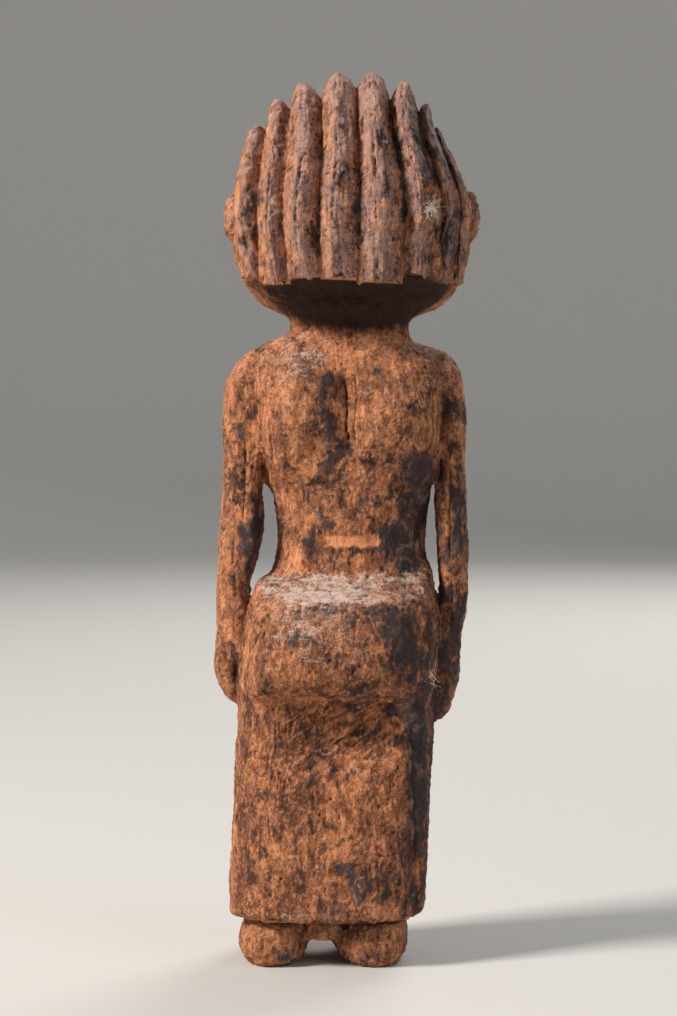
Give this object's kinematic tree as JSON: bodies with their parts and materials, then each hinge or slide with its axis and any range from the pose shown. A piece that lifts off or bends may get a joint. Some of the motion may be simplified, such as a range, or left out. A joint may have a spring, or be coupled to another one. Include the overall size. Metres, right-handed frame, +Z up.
{
  "type": "fertility doll",
  "caption": "Carved wooden standing female figure with a helmet of ridged braids, straight arms, a hip shelf and a long wrapper over block feet.",
  "frame": {"origin": "middle of the figure's footprint box, on the surface that the soles rest on", "axes": "+Z up the figure, -Y the way the face looks, +X the figure's own left"},
  "size_m": [0.0824, 0.0725, 0.2799],
  "materials": {
    "body_wood": "bare orange-brown wood with worn red-brown and blue-black patina, dry and pitted",
    "coiffure_wood": "ridged wood with dusty pink-grey crests, orange flanks and dark grooves",
    "wrapper_wood": "bare wood with vertical grain, pale dust on the shelf and dark worn patches"
  },
  "bodies": {
    "root": {"foot_left": "body_wood", "foot_right": "body_wood", "leg_bridge": "body_wood", "wrapper": "wrapper_wood", "hip_shelf": "wrapper_wood", "abdomen": "body_wood", "navel": "body_wood", "chest": "body_wood", "breast_left": "body_wood", "breast_right": "body_wood", "arm_left": "body_wood", "arm_right": "body_wood", "hand_left": "body_wood", "hand_right": "body_wood", "neck": "body_wood", "jaw": "body_wood", "face": "body_wood", "nose": "body_wood", "skull": "body_wood", "ear_left": "body_wood", "ear_right": "body_wood", "braid_1": "coiffure_wood", "braid_2": "coiffure_wood", "braid_3": "coiffure_wood", "braid_4": "coiffure_wood", "braid_5": "coiffure_wood", "braid_6": "coiffure_wood", "braid_7": "coiffure_wood", "braid_8": "coiffure_wood"}
  },
  "joints": []
}
